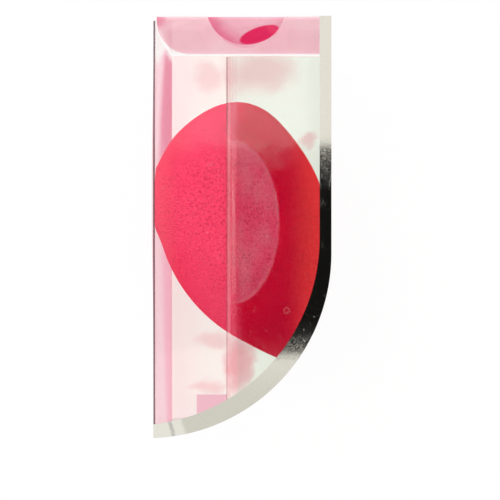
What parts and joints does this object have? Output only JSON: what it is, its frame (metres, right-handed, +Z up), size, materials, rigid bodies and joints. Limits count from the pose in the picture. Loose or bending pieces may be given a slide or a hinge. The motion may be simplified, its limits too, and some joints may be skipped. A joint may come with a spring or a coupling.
{
  "type": "makeup sponge",
  "caption": "Egg-shaped foam makeup sponge held in a clear D-sided folding case with a mirror foil border, pink back wall, creased lid and tuck flap.",
  "frame": {"origin": "under the middle of the whole case, on the surface that it lies on", "axes": "+X from the back wall to the front wall, +Y from the curved bottom to the lid, +Z up from the lower side wall to the upper side wall"},
  "size_m": [0.0443, 0.1002, 0.04],
  "materials": {
    "clear_film": "clear glossy sheet with fine scratches",
    "pink_film": "see-through pink glossy sheet",
    "mirror_foil": "polished foil with fine scratches",
    "clear_glue": "dried clear adhesive",
    "foam": "fine open-cell foam"
  },
  "bodies": {
    "case": {"lower_side_wall": "clear_film", "upper_side_wall": "clear_film", "foil_border": "mirror_foil", "back_wall": "pink_film", "front_wall": "clear_film", "inner_side_lap": "clear_film", "lap_glue_line": "clear_glue"},
    "lid": {"lid_panel": "pink_film"},
    "tuck": {"tuck_flap": "pink_film"},
    "back_dust": {"back_dust_flap": "pink_film"},
    "front_dust": {"front_dust_flap": "clear_film"},
    "sponge": {"sponge": "foam"}
  },
  "joints": [
    {"name": "lid_fold", "type": "hinge", "parent": "case", "child": "lid", "pos_m": [0, 0.04965, 0.0004], "axis": [-1, 0, 0], "range_deg": [0, 90]},
    {"name": "tuck_fold", "type": "hinge", "parent": "lid", "child": "tuck", "pos_m": [0, 0.04965, 0.0388], "axis": [1, 0, 0], "range_deg": [0, 45]},
    {"name": "back_dust_fold", "type": "hinge", "parent": "case", "child": "back_dust", "pos_m": [-0.0197, 0.04875, 0.02], "axis": [0, 0, -1], "range_deg": [0, 60]},
    {"name": "front_dust_fold", "type": "hinge", "parent": "case", "child": "front_dust", "pos_m": [0.0217, 0.04875, 0.02], "axis": [0, 0, 1], "range_deg": [0, 60]},
    {"name": "sponge_slide", "type": "slide", "parent": "case", "child": "sponge", "axis": [0, 1, 0], "range_m": [0, 0.01]}
  ]
}
